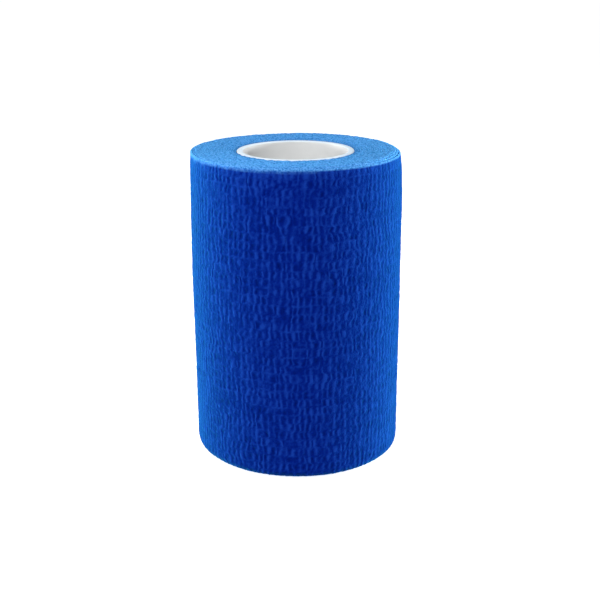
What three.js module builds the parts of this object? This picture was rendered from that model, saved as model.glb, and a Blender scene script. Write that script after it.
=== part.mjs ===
import * as THREE from 'three';

// A roll of cohesive bandage that stands on its end. Millimetres, +Z up.
// The origin is the middle of the end that it stands on.
// Seen from above, the cloth winds outwards counter-clockwise, and its cut end lies at the back, on +Y.

// The roll
const ROLL_HEIGHT = 75;
const ROLL_RADIUS = 25.5;
const LAYER = 0.55;
const CUT_END_ANGLE = Math.PI / 2;
const CUT_END_SLOPE = 0.4;

// Its soft edges. The right side, +X, has the rounder edge above and the squarer one below.
const TOP_ROUNDING = 1.3;
const FOOT_ROUNDING = 1.8;
const ROUNDING_SWAY = 0.4;
const BORE_ROUNDING = 0.5;

// How far the side swells about its middle, as a soft roll does
const SIDE_SWELL = 0.2;
const SWELL_HEIGHT = 45;
const SWELL_SPREAD = 22;

// The tube in the middle
const CORE_INNER_RADIUS = 12.7;
const CORE_WALL = 1.5;
const CORE_LIP = 0.3;
const CORE_RECESS = 0.35;
const CLEARANCE = 0.3;

// How finely the round surfaces are divided
const CLOTH_SECTIONS = 96;
const CORE_SECTIONS = 72;
const EDGE_STEPS = 6;
const LIP_STEPS = 3;
const SIDE_STEPS = 6;

const TURN = 2 * Math.PI;
const QUARTER = Math.PI / 2;
const CORE_OUTER_RADIUS = CORE_INNER_RADIUS + CORE_WALL;
const BORE_RADIUS = CORE_OUTER_RADIUS + CLEARANCE;

// Points [radius, height] on an arc, both ends included
function arc(centreRadius, centreHeight, rounding, from, to, steps) {
  return Array.from({ length: steps + 1 }, (_, i) => {
    const angle = from + ((to - from) * i) / steps;
    return [centreRadius + rounding * Math.cos(angle), centreHeight + rounding * Math.sin(angle)];
  });
}

// Radius of the side. It grows by one layer over the turn that follows the cut end.
function sideRadius(turned, height) {
  const spiral = LAYER * (turned / TURN - 0.5);
  const swell = SIDE_SWELL * Math.exp(-(((height - SWELL_HEIGHT) / SWELL_SPREAD) ** 2));
  return ROLL_RADIUS + spiral + swell;
}

// The side between its two rounded edges, from the foot up, without the edges' own points
function sideOutline(turned, low, high) {
  return Array.from({ length: SIDE_STEPS - 1 }, (_, i) => {
    const height = low + ((high - low) * (i + 1)) / SIDE_STEPS;
    return [sideRadius(turned, height), height];
  });
}

// The wound cloth cut through at one angle: a closed outline of [radius, height], foot first
function clothOutline(turned) {
  const sway = ROUNDING_SWAY * Math.cos(CUT_END_ANGLE + turned);
  const foot = FOOT_ROUNDING - sway;
  const top = TOP_ROUNDING + sway;
  const high = ROLL_HEIGHT - top;
  const borePlace = BORE_RADIUS + BORE_ROUNDING;
  return [
    ...arc(borePlace, BORE_ROUNDING, BORE_ROUNDING, -2 * QUARTER, -QUARTER, LIP_STEPS),
    ...arc(sideRadius(turned, foot) - foot, foot, foot, -QUARTER, 0, EDGE_STEPS),
    ...sideOutline(turned, foot, high),
    ...arc(sideRadius(turned, high) - top, high, top, 0, QUARTER, EDGE_STEPS),
    ...arc(borePlace, ROLL_HEIGHT - BORE_ROUNDING, BORE_ROUNDING, QUARTER, 2 * QUARTER, LIP_STEPS),
  ];
}

// A closed ring whose outline changes as it goes round, made of flat triangles
function ringGeometry(outlines, angles) {
  const positions = outlines.flatMap((outline, section) =>
    outline.flatMap(([radius, height]) => [
      radius * Math.cos(angles[section]),
      radius * Math.sin(angles[section]),
      height,
    ]),
  );
  const perOutline = outlines[0].length;
  const indices = [];
  for (let section = 0; section < outlines.length; section += 1) {
    const here = section * perOutline;
    const next = ((section + 1) % outlines.length) * perOutline;
    for (let point = 0; point < perOutline; point += 1) {
      const following = (point + 1) % perOutline;
      indices.push(here + point, next + point, next + following);
      indices.push(here + point, next + following, here + following);
    }
  }
  const geometry = new THREE.BufferGeometry();
  geometry.setAttribute('position', new THREE.Float32BufferAttribute(positions, 3));
  geometry.setIndex(indices);
  geometry.computeVertexNormals();
  return geometry;
}

// The wound cloth, from the low side of its cut end round to the high side.
// The closing stretch between the last section and the first is the cut end's own step.
function makeBandageRoll() {
  const step = CUT_END_SLOPE / ROLL_RADIUS;
  const turnedTo = Array.from(
    { length: CLOTH_SECTIONS },
    (_, i) => step + ((TURN - step) * i) / (CLOTH_SECTIONS - 1),
  );
  const outlines = turnedTo.map(clothOutline);
  const angles = turnedTo.map((turned) => CUT_END_ANGLE + turned);
  const material = new THREE.MeshStandardMaterial({ color: 0x0d4bab, roughness: 0.9, metalness: 0 });
  const mesh = new THREE.Mesh(ringGeometry(outlines, angles), material);
  mesh.name = 'bandage_roll';
  return mesh;
}

// The tube that the cloth is wound on, a little shorter than the cloth is wide
function makeCoreTube() {
  const length = ROLL_HEIGHT - 2 * CORE_RECESS;
  const inner = CORE_INNER_RADIUS + CORE_LIP;
  const outer = CORE_OUTER_RADIUS - CORE_LIP;
  const outline = [
    ...arc(inner, CORE_LIP, CORE_LIP, -2 * QUARTER, -QUARTER, LIP_STEPS),
    ...arc(outer, CORE_LIP, CORE_LIP, -QUARTER, 0, LIP_STEPS),
    ...arc(outer, length - CORE_LIP, CORE_LIP, 0, QUARTER, LIP_STEPS),
    ...arc(inner, length - CORE_LIP, CORE_LIP, QUARTER, 2 * QUARTER, LIP_STEPS),
  ];
  const profile = [...outline, outline[0]].map(([radius, height]) => new THREE.Vector2(radius, height));
  const geometry = new THREE.LatheGeometry(profile, CORE_SECTIONS);
  geometry.rotateX(QUARTER);
  const material = new THREE.MeshStandardMaterial({ color: 0xdfe6ea, roughness: 0.55, metalness: 0 });
  const mesh = new THREE.Mesh(geometry, material);
  mesh.name = 'core_tube';
  mesh.position.z = CORE_RECESS;
  return mesh;
}

const roll = new THREE.Group();
roll.add(makeBandageRoll(), makeCoreTube());

export default roll;
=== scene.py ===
import math

import bpy
import numpy as np
from mathutils import Matrix, Vector


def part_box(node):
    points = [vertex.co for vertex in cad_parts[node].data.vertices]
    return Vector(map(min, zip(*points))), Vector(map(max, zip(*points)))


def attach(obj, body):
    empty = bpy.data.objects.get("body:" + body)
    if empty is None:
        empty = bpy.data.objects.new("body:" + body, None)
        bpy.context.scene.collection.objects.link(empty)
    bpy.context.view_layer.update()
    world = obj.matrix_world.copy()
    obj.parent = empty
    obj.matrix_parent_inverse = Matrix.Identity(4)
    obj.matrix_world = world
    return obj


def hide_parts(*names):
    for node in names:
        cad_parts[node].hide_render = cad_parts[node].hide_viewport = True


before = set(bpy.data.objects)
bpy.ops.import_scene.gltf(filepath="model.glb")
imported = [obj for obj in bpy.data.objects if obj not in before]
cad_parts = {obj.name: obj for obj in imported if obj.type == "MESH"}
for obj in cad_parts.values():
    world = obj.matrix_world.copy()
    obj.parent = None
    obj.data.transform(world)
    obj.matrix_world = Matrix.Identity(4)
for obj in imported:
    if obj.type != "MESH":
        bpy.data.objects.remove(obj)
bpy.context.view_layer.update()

# A roll of cohesive bandage on a pale floor. Lengths are millimetres until a mesh is written, in metres.
# Seen from above, the cloth winds outwards counter-clockwise, and its cut end lies at the back, on +Y.

MM = 0.001
TURN = 2 * math.pi
QUARTER = TURN / 4

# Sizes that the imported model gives
CLOTH_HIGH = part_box("bandage_roll")[1]
CORE_LOW, CORE_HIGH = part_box("core_tube")
ROLL_HEIGHT = CLOTH_HIGH[2] / MM
CORE_FOOT = CORE_LOW[2] / MM
CORE_TOP = CORE_HIGH[2] / MM
CORE_RADIUS = (CORE_HIGH[0] - CORE_LOW[0]) / 2 / MM

# The cloth as wound
LAYER = 0.55
THICKNESS = 0.535
ROLL_RADIUS = 25.5
CUT_END_ANGLE = QUARTER

# Its soft edges and its uneven side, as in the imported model
TOP_ROUNDING = 1.3
FOOT_ROUNDING = 1.8
ROUNDING_SWAY = 0.4
SIDE_SWELL = 0.2
SWELL_HEIGHT = 45.0
SWELL_SPREAD = 22.0

# Near the top the outer turns lean inwards, most on the right
LEAN = 0.45
LEAN_SWAY = 0.2
LEAN_HEIGHT = 3.5
LEAN_DEPTH = 5.0

# How far the cut edge's paleness reaches down the side, what it gains towards the left, and its least
PALE_REACH = 0.6
PALE_SWAY = 0.5
PALE_SHORTEST = 0.15

# How pale the outer face is at its upper edge, and at least along its cut end
PALE_SHARE = 0.7
PALE_CUT_END = 0.2

# Next to the tube the cloth's edge lies a little lower, and painted shade makes the tightest turns less pale
TUBE_DIP = 0.35
TUBE_DIP_REACH = 2.5
TUBE_PAINTED_SHADE = 0.35
TUBE_PAINTED_SHADE_REACH = 0.8

# The crepe: ridges stand across the elastic threads, which run round the roll
RIDGE_SPACING = 1.42
THREAD_ROWS = 36

# Where the mesh has its columns and rows, in ridges and in thread rows
RIDGE_STEPS = (0.0, 0.15, 0.4, 0.6, 0.85)
THREAD_STEPS = (0.0, 0.2, 0.5, 0.8)

# Half widths in ridges, and heights in millimetres
RIDGE_WIDTH = 0.19
HOLLOW_WIDTH = 0.26
RIDGE_RISE = 0.10
HOLLOW_DEPTH = 0.08
THREAD_RISE = 0.05
TUFT_RISE = 0.04

# Mean strengths of what the random layers below vary
RIDGE_STRENGTH = 0.52
BRIDGE_STRENGTH = 0.20
HOLLOW_STRENGTH = 0.55
THREAD_STRENGTH = 0.05

# What each part of the crepe adds to its shade. The ridges' part is painted light and the hollows' part
# painted shade.
PLAIN_SHADE = 0.33
RIDGE_PAINTED_LIGHT = 0.52
HOLLOW_PAINTED_SHADE = -0.27
THREAD_SHADE = 0.14
TUFT_SHADE = 0.17

# Painted shade: the drawn-in lower edge is darker by this much for each radian that it curls under,
# and painted light makes the side lighter just below the upper edge, over about this many millimetres
CURL_PAINTED_SHADE = -0.55
UPPER_EDGE_PAINTED_LIGHT = 0.42
UPPER_EDGE_PAINTED_LIGHT_REACH = 1.3

# Random numbers repeat over a lattice of this many across and up, and start from these seeds
NOISE_LATTICE = (512, 128)
OUTER_SEED = 7
INNER_SEED = 11

# Random layers of the crepe
CREPE_LAYERS = {
    # name: (amount, ridges wide, thread rows high)
    "drift": (0.36, 4.5, 2.5),
    "shift": (0.24, 1.2, 2.0),
    "kink": (0.24, 1.2, 1.0),
    "slant": (0.45, 1.2, 1.0),
    "wave": (0.12, 2.5, 1.0),
    "slack": (0.10, 12.5, 8.0),
    "segment": (0.42, 1.0, 1.0),
    "column": (0.12, 1.0, 3.0),
    "patch": (0.10, 5.0, 3.0),
    "bridge": (0.45, 1.0, 1.0),
    "width": (0.30, 1.0, 1.0),
    "hollow": (0.45, 1.1, 1.0),
    "thread": (0.90, 3.0, 1.0),
    "tuft": (1.00, 0.3, 0.3),
    "fray": (0.12, 1.0, 0.5),
    "ragged": (0.05, 0.5, 1.0),
    "pale": (0.25, 1.2, 1.0),
}

# The outermost turn's lower edge is drawn in under the foot by this much of a quarter turn
FOOT_WRAP = 0.72

# Its ridges settle this many ridges from its ends, and its slackness this many threads from its edges
END_RIDGES = 2.0
EDGE_THREADS = 4.0

# The cut is a little skewed: its upper end lies this many ridges further round than its lower end
END_SKEW = 0.9

# The cut end is pressed down by this share of the thickness, over about this length
PRESSED_SHARE = 0.45
PRESSED_LENGTH = 0.5

# The cut edges bulge, and between them the inner face follows these rows of the outer face's mesh
EDGE_BULGE = 0.14
INNER_FACE_ROWS = (5, 2)

# The inner turns: the step along the cloth, the gap round the tube, the share of a turn
# in which the first turns step over the cloth's start, and the turns in which that fades
EDGE_STEP = 0.29
CORE_GAP = 0.03
STEP_OVER = 0.06
STEP_FADE = 4.0

# Their edges lie this far below the end face, above the floor and above the drawn-in edge
EDGE_RECESS = 0.05
FOOT_CLEARANCE = 0.02
COVER_CLEARANCE = 0.1

# Their edges' heights vary by these amounts, within these lengths along the cloth
EDGE_UNEVENNESS = ((0.07, 1.3), (0.05, 0.5))

# They also rise and fall more slowly, by this amount within this many radians of winding
SLOW_OFFSET = 0.05
SLOW_OFFSET_SPREAD = 5.0

# Their sideways unevenness: amount, length round the side, depth, and the lattice that it repeats over
CRINKLES = (
    (0.04, 1.4, 3.0, (112, 64)),
    (0.05, 8.5, 4.0, (19, 64)),
)

# A turn's rounded edge: share of the half thickness, how far below the crown, and how pale it is
EDGE_SECTION = (
    (1.0, 0.07, 0.8),
    (0.72, 0.015, 0.98),
    (0.0, 0.0, 1.0),
    (-0.72, 0.015, 0.98),
    (-1.0, 0.07, 0.8),
)

# The tube
TUBE_WALL = 1.5
TUBE_LIP = 0.3
TUBE_SECTIONS = 192
TUBE_BODY_RINGS = 7
LIP_STEPS = 4
TUBE_OVAL = 0.04

# Noises of the materials: bumps for each millimetre, detail, and how they are drawn out along the axes
FIBRES = (5.0, 3.0, (1.0, 1.0, 3.0))
TUFTS = (1.5, 3.0)
MOTTLE = (0.35, 3.0)
SPECKLE = (2.4, 4.0)
TUBE_CLOUD = (0.12, 3.0)
TUBE_RINGS = (0.5, 2.0, (12.0, 12.0, 1.0))
FLOOR_CLOUD = (0.01, 2.0)

# What the noises add to the cloth's shade
SPECKLE_SHARE = 0.32
TUFT_SHARE = 0.32
MOTTLE_SHARE = 0.08

# Bumps: height in millimetres, and strength
FIBRE_BUMP = (0.05, 0.5)
TUFT_BUMP = (0.30, 0.7)
SPECKLE_BUMP = (0.10, 0.6)
RING_BUMP = (0.02, 0.3)

# The tube's roughness, and what its fine marks add to it
TUBE_ROUGHNESS = 0.42
TUBE_ROUGHNESS_SWAY = 0.15

# Colours, each at its place on a ramp
FACE_COLOURS = (
    (0.34, (0.0001, 0.0020, 0.087)),
    (0.64, (0.0005, 0.0062, 0.150)),
    (1.00, (0.0045, 0.0275, 0.250)),
)
CUT_COLOURS = (
    (0.38, (0.030, 0.185, 0.500)),
    (0.48, (0.078, 0.310, 0.720)),
    (0.59, (0.130, 0.400, 0.850)),
)
TUBE_WALL_COLOURS = (
    (0.30, (0.75, 0.76, 0.76)),
    (0.70, (0.82, 0.83, 0.83)),
)
TUBE_LIP_COLOURS = (
    (0.30, (0.70, 0.83, 0.94)),
    (0.70, (0.77, 0.88, 0.97)),
)
FLOOR_COLOURS = (
    (0.3, (0.88, 0.88, 0.88)),
    (0.7, (0.91, 0.91, 0.91)),
)

# Places of the colour sockets on a mix node, which has others of the same names
MIX_FIRST = 6
MIX_SECOND = 7
MIX_RESULT = 2

# The studio, in metres. The floor reaches this far each way, and lies this far below the roll.
FLOOR_REACH = 8.0
FLOOR_DROP = 0.00005
LIGHT_TARGET = (0.0, 0.0, 0.04)
LIGHTS = (
    # name, place, width, height, watts
    ("left_box", (-0.41, 0.13, 0.058), 0.25, 0.116, 3.1),
    ("right_box", (0.41, 0.13, 0.058), 0.25, 0.116, 3.8),
    ("top_box", (-0.05, -0.11, 0.25), 0.16, 0.16, 0.52),
)
SKY_STRENGTH = 0.22

# The camera, fitted to the outline in the 600 pixel wide photograph
CAMERA_SIDE = 0.96
CAMERA_DISTANCE = 259.7
CAMERA_HEIGHT = 119.55
CAMERA_PITCH = 0.3086
CAMERA_ROLL = -0.0033
FOCAL_PIXELS = 1086.2
PHOTO_WIDTH = 600
SENSOR_WIDTH = 36.0


# Random fields

def smooth_noise(rng, across, up, size=NOISE_LATTICE):
    """Random values from -1 to 1 that change smoothly, by about one bump for each whole step across or up."""
    lattice = rng.uniform(-1.0, 1.0, size)
    column = np.floor(across).astype(int)
    row = np.floor(up).astype(int)
    u = smooth_step(across - column)
    v = smooth_step(up - row)
    corner = [lattice[(column + i) % size[0], (row + j) % size[1]] for j in (0, 1) for i in (0, 1)]
    low = corner[0] * (1 - u) + corner[1] * u
    high = corner[2] * (1 - u) + corner[3] * u
    return low * (1 - v) + high * v


def smooth_step(x):
    """From 0 to 1 as x goes from 0 to 1, level at both ends."""
    x = np.clip(x, 0.0, 1.0)
    return x * x * (3 - 2 * x)


def layer(rng, name, column, row):
    """One random layer of the crepe, at these ridges and thread rows."""
    amount, wide, high = CREPE_LAYERS[name]
    return amount * smooth_noise(rng, column / wide, row / high)


# The form of the roll

def side_radius(turned, height):
    """Radius of the cloth's outer face where it has turned this far since the cut end's low side."""
    spiral = LAYER * (turned / TURN - 0.5)
    swell = SIDE_SWELL * np.exp(-(((height - SWELL_HEIGHT) / SWELL_SPREAD) ** 2))
    return ROLL_RADIUS + spiral + swell


def rightness(turned):
    """From 1 on the roll's right to -1 on its left."""
    return np.cos(CUT_END_ANGLE + turned)


def lean(turned, height, depth):
    """How far the cloth leans inwards at this height, this deep inside the side."""
    most = LEAN + LEAN_SWAY * rightness(turned)
    return most * np.exp(-(ROLL_HEIGHT - height) / LEAN_HEIGHT) * np.exp(-depth / LEAN_DEPTH)


def edge_roundings(turned):
    """Radii of the rounded edges at the top and at the foot, which differ from side to side."""
    sway = ROUNDING_SWAY * rightness(turned)
    return TOP_ROUNDING + sway, FOOT_ROUNDING - sway


def edge_drop(rounding, depth):
    """How far a rounded edge lies below the end face, this deep inside the side."""
    inside = np.clip(rounding - depth, 0.0, rounding)
    return rounding - np.sqrt(rounding**2 - inside**2)


def place(radius, turned, height):
    """Points at these radii and heights, where the cloth has turned this far since its cut end."""
    angle = CUT_END_ANGLE + turned
    return np.stack([radius * np.cos(angle), radius * np.sin(angle), height], axis=-1)


# Meshes

def ring_faces(sections, points, closed):
    """Four-sided faces between sections that are closed loops of points. An open strip gets two end faces."""
    spans = sections if closed else sections - 1
    here = (np.arange(spans)[:, None] * points).repeat(points, axis=1)
    after = ((np.arange(spans) + 1) % sections)[:, None] * points
    point = np.arange(points)[None, :]
    following = (point + 1) % points
    quads = np.stack([here + point, after + point, after + following, here + following], axis=-1)
    faces = quads.reshape(-1, 4).tolist()
    if not closed:
        last = (sections - 1) * points
        faces.append(list(range(points)))
        faces.append([last + i for i in reversed(range(points))])
    return faces


def make_piece(name, places, closed, attributes, material):
    """A mesh through the sections of places, with one number at each point for each attribute."""
    sections, points = places.shape[:2]
    faces = ring_faces(sections, points, closed)
    mesh = bpy.data.meshes.new(name)
    mesh.from_pydata((places.reshape(-1, 3) * MM).tolist(), [], faces)
    mesh.update()
    for title, values in attributes.items():
        data = mesh.attributes.new(title, "FLOAT", "POINT").data
        data.foreach_set("value", np.ascontiguousarray(values, dtype=np.float32).ravel())
    mesh.polygons.foreach_set("use_smooth", [len(face) == 4 for face in faces])
    mesh.materials.append(material)
    piece = bpy.data.objects.new(name, mesh)
    bpy.context.scene.collection.objects.link(piece)
    return piece


# Materials

def new_material(name):
    """A material with its node tree and its one shader."""
    material = bpy.data.materials.new(name)
    material.use_nodes = True
    tree = material.node_tree
    tree.nodes.clear()
    output = tree.nodes.new("ShaderNodeOutputMaterial")
    shader = tree.nodes.new("ShaderNodeBsdfPrincipled")
    tree.links.new(shader.outputs["BSDF"], output.inputs["Surface"])
    return material, tree, shader


def noise(tree, scale, detail, stretch=(1.0, 1.0, 1.0)):
    """Noise with about this many bumps for each millimetre, drawn out along the axes by stretch."""
    coordinates = tree.nodes.new("ShaderNodeTexCoord")
    mapping = tree.nodes.new("ShaderNodeMapping")
    mapping.inputs["Scale"].default_value = [scale / MM / s for s in stretch]
    texture = tree.nodes.new("ShaderNodeTexNoise")
    texture.inputs["Scale"].default_value = 1.0
    texture.inputs["Detail"].default_value = detail
    tree.links.new(coordinates.outputs["Object"], mapping.inputs["Vector"])
    tree.links.new(mapping.outputs["Vector"], texture.inputs["Vector"])
    return texture.outputs["Fac"]


def attribute(tree, name):
    """The number that the mesh holds at each point under this name."""
    node = tree.nodes.new("ShaderNodeAttribute")
    node.attribute_name = name
    return node.outputs["Fac"]


def ramp(tree, value, stops):
    """Colour for a value, from stops of (place, colour)."""
    node = tree.nodes.new("ShaderNodeValToRGB")
    while len(node.color_ramp.elements) < len(stops):
        node.color_ramp.elements.new(0.5)
    for element, (position, colour) in zip(node.color_ramp.elements, stops):
        element.position = position
        element.color = (*colour, 1.0)
    tree.links.new(value, node.inputs["Fac"])
    return node.outputs["Color"]


def combine(tree, operation, first, second):
    """A sum or product of a value and a value or plain number."""
    node = tree.nodes.new("ShaderNodeMath")
    node.operation = operation
    tree.links.new(first, node.inputs[0])
    if isinstance(second, float):
        node.inputs[1].default_value = second
    else:
        tree.links.new(second, node.inputs[1])
    return node.outputs["Value"]


def add_share(tree, value, extra, share):
    """The value with a share of an extra one added."""
    return combine(tree, "ADD", value, combine(tree, "MULTIPLY", extra, share))


def mix_colours(tree, share, first, second):
    """The first colour with this share of the second."""
    node = tree.nodes.new("ShaderNodeMix")
    node.data_type = "RGBA"
    tree.links.new(share, node.inputs["Factor"])
    tree.links.new(first, node.inputs[MIX_FIRST])
    tree.links.new(second, node.inputs[MIX_SECOND])
    return node.outputs[MIX_RESULT]


def bump(tree, height, distance, strength, normal=None):
    """A normal that a height tilts, on top of another normal where one is given."""
    node = tree.nodes.new("ShaderNodeBump")
    node.inputs["Distance"].default_value = distance * MM
    node.inputs["Strength"].default_value = strength
    tree.links.new(height, node.inputs["Height"])
    if normal is not None:
        tree.links.new(normal, node.inputs["Normal"])
    return node.outputs["Normal"]


def cloth_material():
    """Blue crepe: painted shade in the hollows and painted light on the ridges, fine fibres, and pale azure
    where the cloth is cut.
    """
    material, tree, shader = new_material("crepe")
    fibres = noise(tree, *FIBRES)
    tufts = noise(tree, *TUFTS)
    mottle = noise(tree, *MOTTLE)
    speckle = noise(tree, *SPECKLE)
    shade = add_share(tree, attribute(tree, "shade"), speckle, SPECKLE_SHARE)
    shade = add_share(tree, shade, tufts, TUFT_SHARE)
    shade = add_share(tree, shade, mottle, MOTTLE_SHARE)
    face = ramp(tree, shade, FACE_COLOURS)
    cut = ramp(tree, speckle, CUT_COLOURS)
    colour = mix_colours(tree, attribute(tree, "cut"), face, cut)
    tree.links.new(colour, shader.inputs["Base Color"])
    normal = bump(tree, fibres, *FIBRE_BUMP)
    normal = bump(tree, tufts, *TUFT_BUMP, normal)
    normal = bump(tree, speckle, *SPECKLE_BUMP, normal)
    tree.links.new(normal, shader.inputs["Normal"])
    shader.inputs["Roughness"].default_value = 0.85
    shader.inputs["Specular IOR Level"].default_value = 0.0
    shader.inputs["Sheen Weight"].default_value = 0.42
    shader.inputs["Sheen Roughness"].default_value = 0.45
    shader.inputs["Sheen Tint"].default_value = (0.04, 0.50, 0.95, 1.0)
    return material


def tube_material():
    """White plastic tube, faintly clouded, with fine marks round it and a bluish tint on its cut lips."""
    material, tree, shader = new_material("tube_white")
    cloud = noise(tree, *TUBE_CLOUD)
    rings = noise(tree, *TUBE_RINGS)
    wall = ramp(tree, cloud, TUBE_WALL_COLOURS)
    lip = ramp(tree, cloud, TUBE_LIP_COLOURS)
    colour = mix_colours(tree, attribute(tree, "lip"), wall, lip)
    tree.links.new(colour, shader.inputs["Base Color"])
    sway = combine(tree, "MULTIPLY", rings, TUBE_ROUGHNESS_SWAY)
    tree.links.new(combine(tree, "ADD", sway, TUBE_ROUGHNESS), shader.inputs["Roughness"])
    tree.links.new(bump(tree, rings, *RING_BUMP), shader.inputs["Normal"])
    return material


def floor_material():
    """Pale floor, nearly white, with a very faint unevenness."""
    material, tree, shader = new_material("pale_floor")
    colour = ramp(tree, noise(tree, *FLOOR_CLOUD), FLOOR_COLOURS)
    tree.links.new(colour, shader.inputs["Base Color"])
    shader.inputs["Roughness"].default_value = 0.9
    shader.inputs["Specular IOR Level"].default_value = 0.1
    shader.inputs["Emission Color"].default_value = (1.0, 1.0, 1.0, 1.0)
    shader.inputs["Emission Strength"].default_value = 0.82
    return material


# The outermost turn

def stepped(count, steps):
    """Places from 0 to count, with the same steps after each whole number."""
    return np.append((np.arange(count)[:, None] + np.array(steps)).ravel(), float(count))


def own_row(row):
    """The thread row that a place belongs to. On a thread itself it is halfway between two rows."""
    return np.where(row % 1.0 == 0, row - 0.5, np.floor(row))


def ridge_sway(rng, column, row):
    """How far the ridges stray along the turn, in ridges. They kink where they cross a thread."""
    thread = own_row(row)
    off_thread = np.where(row % 1.0 == 0, 0.0, row % 1.0 - 0.5)
    sway = layer(rng, "drift", column, thread) + layer(rng, "shift", column, thread)
    return sway + layer(rng, "kink", column, thread) + layer(rng, "slant", column, thread) * off_thread


def crepe_relief(rng, column, row):
    """The crepe's relief in millimetres, and its shade from 0 in a hollow to 1 on a ridge, with painted shade
    in the hollows and painted light on the ridges.
    """
    number = np.round(column)
    away = np.abs(column - number)
    thread = own_row(row)
    puff = 1 - np.abs(2 * (row % 1.0) - 1) ** 3
    bridge = np.clip(BRIDGE_STRENGTH + layer(rng, "bridge", number, np.round(row)), 0.0, 1.0)
    strength = RIDGE_STRENGTH + layer(rng, "segment", number, thread) + layer(rng, "column", number, thread)
    strength = np.clip(strength + layer(rng, "patch", column, row), 0.0, None)
    width = RIDGE_WIDTH * (1 + layer(rng, "width", number, thread))
    ridge = strength * (bridge + (1 - bridge) * puff) * np.exp(-((away / width) ** 2))
    depth = HOLLOW_STRENGTH + layer(rng, "hollow", column, thread)
    hollow = depth * puff * (1 - np.exp(-((away / HOLLOW_WIDTH) ** 2)))
    pull = np.clip(THREAD_STRENGTH + layer(rng, "thread", column, row), 0.0, 1.0)
    pull = np.where(row % 1.0 == 0, pull, 0.0)
    tuft = layer(rng, "tuft", column, row)
    relief = RIDGE_RISE * ridge - HOLLOW_DEPTH * hollow + THREAD_RISE * pull + TUFT_RISE * tuft
    # Painted light on the ridges and painted shade in the hollows
    shade = PLAIN_SHADE + RIDGE_PAINTED_LIGHT * ridge + HOLLOW_PAINTED_SHADE * hollow + THREAD_SHADE * pull
    return relief, np.clip(shade + TUFT_SHADE * tuft, 0.0, 1.0)


def outer_profile(turned, share):
    """Radius and height of the outer face at a share of the cloth's width, and how far it curls under."""
    top_rounding, foot_rounding = edge_roundings(turned)
    wrapped = foot_rounding * FOOT_WRAP * QUARTER
    high = ROLL_HEIGHT - edge_drop(top_rounding, LAYER / 2)
    along = share * (wrapped + high - foot_rounding)
    curl = np.clip((wrapped - along) / foot_rounding, 0.0, None)
    height = np.where(curl > 0, foot_rounding * (1 - np.sin(curl)), foot_rounding + along - wrapped)
    inset = foot_rounding * (1 - np.cos(curl))
    radius = side_radius(turned, height) - inset - lean(turned, height, 0.0)
    return radius, height, curl


def settle(distance, reach):
    """From 0 at an edge to 1 this far from it."""
    return smooth_step(distance / reach)


def outer_places(rng, column, row, ridges):
    """How far round the roll the outermost turn's points lie, and at which share of the cloth's width.

    The ridges sway and the threads wave, except at the ends and at the edges. The turn starts where
    the inner turns end, and its skewed cut end laps over that start.
    """
    before_end = settle(ridges - column, END_RIDGES)
    inner_ridges = settle(column, END_RIDGES) * before_end
    inner_threads = settle(row, 1.0) * settle(THREAD_ROWS - row, 1.0)
    skew = END_SKEW * row / THREAD_ROWS + layer(rng, "fray", column * 0, row)
    aside = ridge_sway(rng, column, row) * inner_ridges + skew * (1 - before_end)
    turned = (column + aside) / ridges * TURN
    share = (row + layer(rng, "wave", column, row) * inner_threads) / THREAD_ROWS
    return turned, share


def outer_lift(rng, column, row, ridges, relief):
    """How far the outer face stands out: its relief and slackness, less where its cut end is pressed down."""
    slack = layer(rng, "slack", column, row)
    slack = slack * settle(row, EDGE_THREADS) * settle(THREAD_ROWS - row, EDGE_THREADS)
    pressed = PRESSED_SHARE * THICKNESS * np.exp(-(ridges - column) * RIDGE_SPACING / PRESSED_LENGTH)
    return relief + slack - pressed


def outer_paleness(rng, column, row, ridges, turned, height):
    """How pale the outer face is, just below its upper edge and along its cut end."""
    reach = PALE_REACH - PALE_SWAY * rightness(turned) + layer(rng, "pale", column, row)
    under_edge = (height[:, -1:] - height) / np.clip(reach, PALE_SHORTEST, None)
    cut = PALE_SHARE * np.clip(1.0 - under_edge, 0.0, 1.0)
    return np.where(column == ridges, np.maximum(cut, PALE_CUT_END), cut)


def closing_lines(radius, turned, height, curl, bulge):
    """Lines over the cut edges and the inner face, which close the cloth's section, and how pale they are."""
    closing = (
        # row of the outer face, depth, how far it bulges on, how pale
        (-1, THICKNESS / 2, bulge, 1.0),
        (-1, THICKNESS, 0.0, 1.0),
        *[(index, THICKNESS, 0.0, 0.0) for index in INNER_FACE_ROWS],
        (0, THICKNESS, 0.0, 1.0),
        (0, THICKNESS / 2, -bulge, 1.0),
    )
    lines, cuts = [], []
    for index, inwards, onwards, pale in closing:
        bend = curl[:, index]
        line_radius = radius[:, index] - inwards * np.cos(bend) + onwards * np.sin(bend)
        line_height = height[:, index] + inwards * np.sin(bend) + onwards * np.cos(bend)
        lines.append(place(line_radius, turned[:, index], line_height))
        cuts.append(np.full(len(bend), pale))
    return np.stack(lines, axis=1), np.stack(cuts, axis=1)


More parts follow.
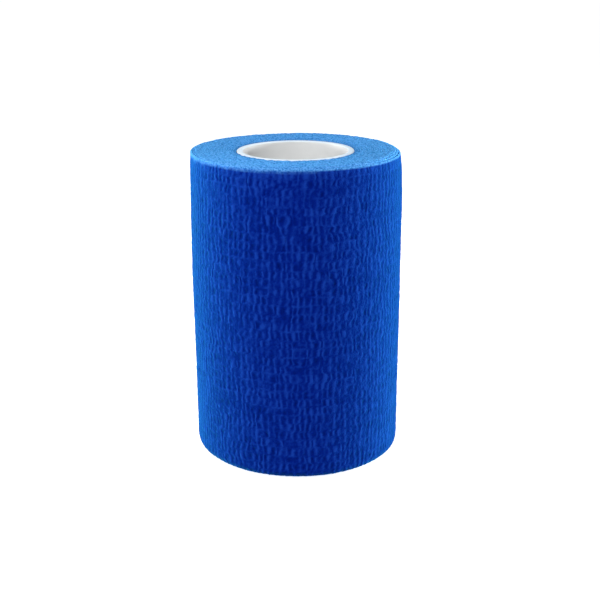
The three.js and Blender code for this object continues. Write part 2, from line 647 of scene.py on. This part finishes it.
def make_outer_turn(material):
    """The outermost turn, from just under the cut end once round to it, with its crepe as real relief."""
    rng = np.random.default_rng(OUTER_SEED)
    ridges = round(TURN * ROLL_RADIUS / RIDGE_SPACING)
    column, row = np.meshgrid(stepped(ridges, RIDGE_STEPS), stepped(THREAD_ROWS, THREAD_STEPS), indexing="ij")
    turned, share = outer_places(rng, column, row, ridges)
    radius, height, curl = outer_profile(turned, share)
    relief, shade = crepe_relief(rng, column, row)
    # Painted light just below the upper edge
    upper_edge_painted_light = UPPER_EDGE_PAINTED_LIGHT * np.exp((height - ROLL_HEIGHT) / UPPER_EDGE_PAINTED_LIGHT_REACH)
    # Painted shade on the drawn-in lower edge, and the painted light below the upper edge
    shade = shade + CURL_PAINTED_SHADE * curl + upper_edge_painted_light
    lift = outer_lift(rng, column, row, ridges, relief)
    face = place(radius + lift * np.cos(curl), turned, height - lift * np.sin(curl))
    cut = outer_paleness(rng, column, row, ridges, turned, height)
    bulge = EDGE_BULGE + layer(rng, "ragged", column[:, 0], row[:, 0])
    closing, closing_cut = closing_lines(radius, turned, height, curl, bulge)
    closing_shade = np.full(closing_cut.shape, PLAIN_SHADE)
    attributes = {
        "shade": np.concatenate([shade, closing_shade], axis=1),
        "cut": np.concatenate([cut, closing_cut], axis=1),
    }
    places = np.concatenate([face, closing], axis=1)
    return make_piece("outer_turn", places, False, attributes, material)


# The inner turns

def inner_spiral(turns):
    """Turns that have been wound since the tube, with the first ones stepping over the cloth's own start."""
    stepping = np.floor(turns) + smooth_step((turns % 1.0 - 1 + STEP_OVER) / STEP_OVER)
    follow = np.exp(-turns / STEP_FADE)
    return follow * stepping + (1 - follow) * turns


def wound_angles(start_radius, last_radius):
    """Angles turned since the tube at even steps along the cloth, and the cloth's length."""
    wound = (last_radius - start_radius) / LAYER
    length = TURN * (start_radius + last_radius) / 2 * wound
    along = np.linspace(0.0, length, int(length / EDGE_STEP))
    growth = LAYER / TURN
    turned = (np.sqrt(start_radius**2 + 2 * growth * along) - start_radius) / growth
    return turned * (wound * TURN / turned[-1]), along


def crinkle(rng, angle, radius):
    """Sideways unevenness, nearly alike in neighbouring turns, so that no turn runs into the next."""
    return sum(
        amount * smooth_noise(rng, angle * ROLL_RADIUS / length, radius / deep, lattice)
        for amount, length, deep, lattice in CRINKLES
    )


def above_wrap(foot, foot_rounding, depth):
    """The feet of the inner turns, kept above the outermost turn's drawn-in lower edge."""
    under = foot_rounding - depth + THICKNESS / 2
    wrap_inner = foot_rounding - THICKNESS
    cover = foot_rounding - np.sqrt(np.clip(wrap_inner**2 - under**2, 0.0, None)) + COVER_CLEARANCE
    return np.where(under > wrap_inner * math.cos(FOOT_WRAP * QUARTER), np.maximum(foot, cover), foot)


def edge_heights(rng, turned, along, since_tube, depth):
    """How high the inner turns' crimped edges reach, at the top and at the foot."""
    top_rounding, foot_rounding = edge_roundings(turned - turned[-1])
    uneven = sum(
        amount * smooth_noise(rng, along / length, along * 0)
        for amount, length in EDGE_UNEVENNESS
    )
    offset = SLOW_OFFSET * smooth_noise(rng, turned / SLOW_OFFSET_SPREAD, turned * 0)
    dip = EDGE_RECESS + TUBE_DIP * np.exp(-since_tube / TUBE_DIP_REACH)
    top = ROLL_HEIGHT - edge_drop(top_rounding, depth) - dip + uneven + offset
    foot = edge_drop(foot_rounding, depth) + FOOT_CLEARANCE + np.abs(uneven) / 2
    return top, above_wrap(foot, foot_rounding, depth)


def make_inner_turns(material):
    """The turns between the tube and the outermost turn: one strip, whose crimped edges are the end faces."""
    rng = np.random.default_rng(INNER_SEED)
    start_radius = CORE_RADIUS + CORE_GAP + THICKNESS
    turned, along = wound_angles(start_radius, ROLL_RADIUS - LAYER / 2)
    radius = start_radius + LAYER * inner_spiral(turned / TURN)
    since_end = turned - turned[-1]
    angle = since_end % TURN
    depth = side_radius(angle, 0.0) - radius + THICKNESS / 2

    # Towards the side the turns lose their unevenness, so that they keep clear of the outermost one
    aside = crinkle(rng, angle, radius) * smooth_step(depth / LEAN_DEPTH)
    top, foot = edge_heights(rng, turned, along, radius - start_radius, depth)
    # Painted shade next to the tube: the tightest turns are less pale
    share_outside_tube_shade = 1 - TUBE_PAINTED_SHADE * np.exp(-(radius - start_radius) / TUBE_PAINTED_SHADE_REACH)

    # One closed section: over the top edge from its outer side, then under the foot
    half = THICKNESS / 2
    columns, pales = [], []
    for sign, edge in ((1, top), (-1, foot)):
        for share, below, pale in EDGE_SECTION:
            height = edge - sign * below
            middle = radius - half + aside - lean(since_end, height, depth)
            columns.append(place(middle + sign * share * half, since_end, height))
            pales.append(pale * share_outside_tube_shade)
    attributes = {"cut": np.stack(pales, axis=1), "shade": np.full((len(radius), len(pales)), PLAIN_SHADE)}
    piece = make_piece("inner_turns", np.stack(columns, axis=1), False, attributes, material)
    return piece, along[-1]


# The tube

def lip_corner(radius, height, start):
    """Points [radius, height] round one rounded corner of the tube's section."""
    angles = start + np.linspace(0.0, QUARTER, LIP_STEPS + 1)
    return [(radius + TUBE_LIP * math.cos(a), height + TUBE_LIP * math.sin(a)) for a in angles]


def make_tube(material):
    """The tube with its rounded lips, a little out of round as moulded tubes are."""
    outer, inner = CORE_RADIUS - TUBE_LIP, CORE_RADIUS - TUBE_WALL + TUBE_LIP
    low, high = CORE_FOOT + TUBE_LIP, CORE_TOP - TUBE_LIP
    body = np.linspace(low, high, TUBE_BODY_RINGS + 2)[1:-1]
    outline = [
        *lip_corner(outer, low, -QUARTER),
        *[(outer + TUBE_LIP, z) for z in body],
        *lip_corner(outer, high, 0.0),
        *lip_corner(inner, high, QUARTER),
        *[(inner - TUBE_LIP, z) for z in reversed(body)],
        *lip_corner(inner, low, 2 * QUARTER),
    ]
    radius, height = np.array(outline).T
    angles = np.arange(TUBE_SECTIONS)[:, None] / TUBE_SECTIONS * TURN
    oval = TUBE_OVAL * np.cos(2 * angles)
    shape = (TUBE_SECTIONS, len(outline))
    places = place(radius + oval, np.broadcast_to(angles, shape), np.broadcast_to(height, shape))
    lip = np.clip(np.maximum(low - height, height - high) / TUBE_LIP, 0.0, 1.0)
    return make_piece("tube", places, True, {"lip": np.broadcast_to(lip, shape)}, material)


# The studio

def make_floor():
    """The plain pale floor, a hair below the roll's foot."""
    mesh = bpy.data.meshes.new("floor")
    far = FLOOR_REACH
    corners = [(-far, -far, 0.0), (far, -far, 0.0), (far, far, 0.0), (-far, far, 0.0)]
    mesh.from_pydata(corners, [], [(0, 1, 2, 3)])
    mesh.materials.append(floor_material())
    floor = bpy.data.objects.new("floor", mesh)
    floor.location.z = -FLOOR_DROP
    bpy.context.scene.collection.objects.link(floor)


def make_light(name, position, width, height, watts):
    """A soft box that faces the roll."""
    light = bpy.data.lights.new(name, "AREA")
    light.shape = "RECTANGLE"
    light.size = width
    light.size_y = height
    light.energy = watts
    lamp = bpy.data.objects.new(name, light)
    lamp.location = position
    lamp.rotation_euler = (Vector(LIGHT_TARGET) - Vector(position)).to_track_quat("-Z", "Y").to_euler()
    bpy.context.scene.collection.objects.link(lamp)


def make_studio():
    """The floor, the soft boxes and an even sky."""
    make_floor()
    for light in LIGHTS:
        make_light(*light)
    world = bpy.data.worlds.new("studio")
    world.use_nodes = True
    background = world.node_tree.nodes["Background"]
    background.inputs["Color"].default_value = (1.0, 1.0, 1.0, 1.0)
    background.inputs["Strength"].default_value = SKY_STRENGTH
    bpy.context.scene.world = world


def make_camera():
    """The camera at the photograph's viewing angle."""
    camera = bpy.data.cameras.new("camera")
    camera.sensor_width = SENSOR_WIDTH
    camera.lens = FOCAL_PIXELS / PHOTO_WIDTH * SENSOR_WIDTH
    camera.clip_start = 0.01
    seat = bpy.data.objects.new("camera", camera)
    tilt = Matrix.Rotation(QUARTER - CAMERA_PITCH, 4, "X")
    roll = Matrix.Rotation(CAMERA_ROLL, 4, "Z")
    stand = Matrix.Translation((CAMERA_SIDE * MM, -CAMERA_DISTANCE * MM, CAMERA_HEIGHT * MM))
    seat.matrix_world = stand @ tilt @ roll
    bpy.context.scene.collection.objects.link(seat)
    bpy.context.scene.camera = seat
    bpy.context.scene.view_settings.view_transform = "Standard"


def main():
    """Builds the scene, and says what each piece rides on and replaces."""
    make_camera()
    make_studio()
    cloth = cloth_material()
    inner, inner_length = make_inner_turns(cloth)
    outer = make_outer_turn(cloth)
    tube = make_tube(tube_material())
    for piece, node, slot in (
        (inner, "bandage_roll", "bandage"),
        (outer, "bandage_roll", "bandage"),
        (tube, "core_tube", "core"),
    ):
        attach(piece, "root")
        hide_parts(node)


main()
